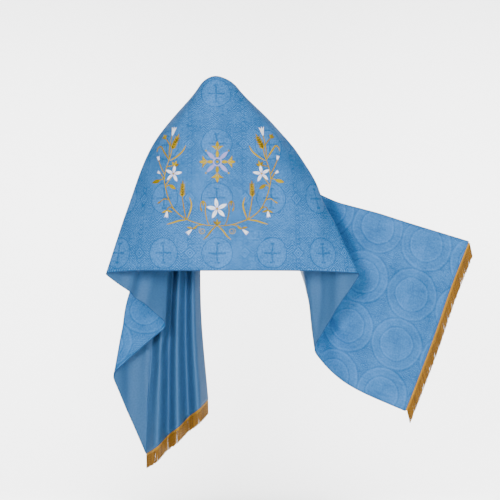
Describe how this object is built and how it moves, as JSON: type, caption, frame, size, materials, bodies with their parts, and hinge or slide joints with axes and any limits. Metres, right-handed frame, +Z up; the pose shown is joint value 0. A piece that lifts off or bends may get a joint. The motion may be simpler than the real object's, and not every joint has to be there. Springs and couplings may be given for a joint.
{
  "type": "humeral veil",
  "caption": "Long rectangular shoulder veil in blue damask with satin lining and gold fringed ends, draped over the back, one end held out.",
  "frame": {"origin": "on the neck's axis, at the base of the neck, where the neck and shoulders carry the cloth", "axes": "+Z up, -Y towards the side of the wearer's back, which the picture shows, +X towards the wearer's right hand"},
  "size_m": [1.2018, 0.399, 1.2929],
  "materials": {
    "brocade": "tone-on-tone figured damask, soft sheen",
    "lining": "smooth satin",
    "bullion": "twisted metallic yarn"
  },
  "bodies": {
    "root": {"brocade_right_end": "brocade", "brocade_right_pleat": "brocade", "brocade_back": "brocade", "brocade_left_pleat": "brocade", "brocade_left_cascade": "brocade", "brocade_left_end": "brocade", "lining_right_end": "lining", "lining_right_pleat": "lining", "lining_back": "lining", "lining_left_pleat": "lining", "lining_left_cascade": "lining", "lining_left_end": "lining", "fringe_right": "bullion", "fringe_left": "bullion"}
  },
  "joints": []
}
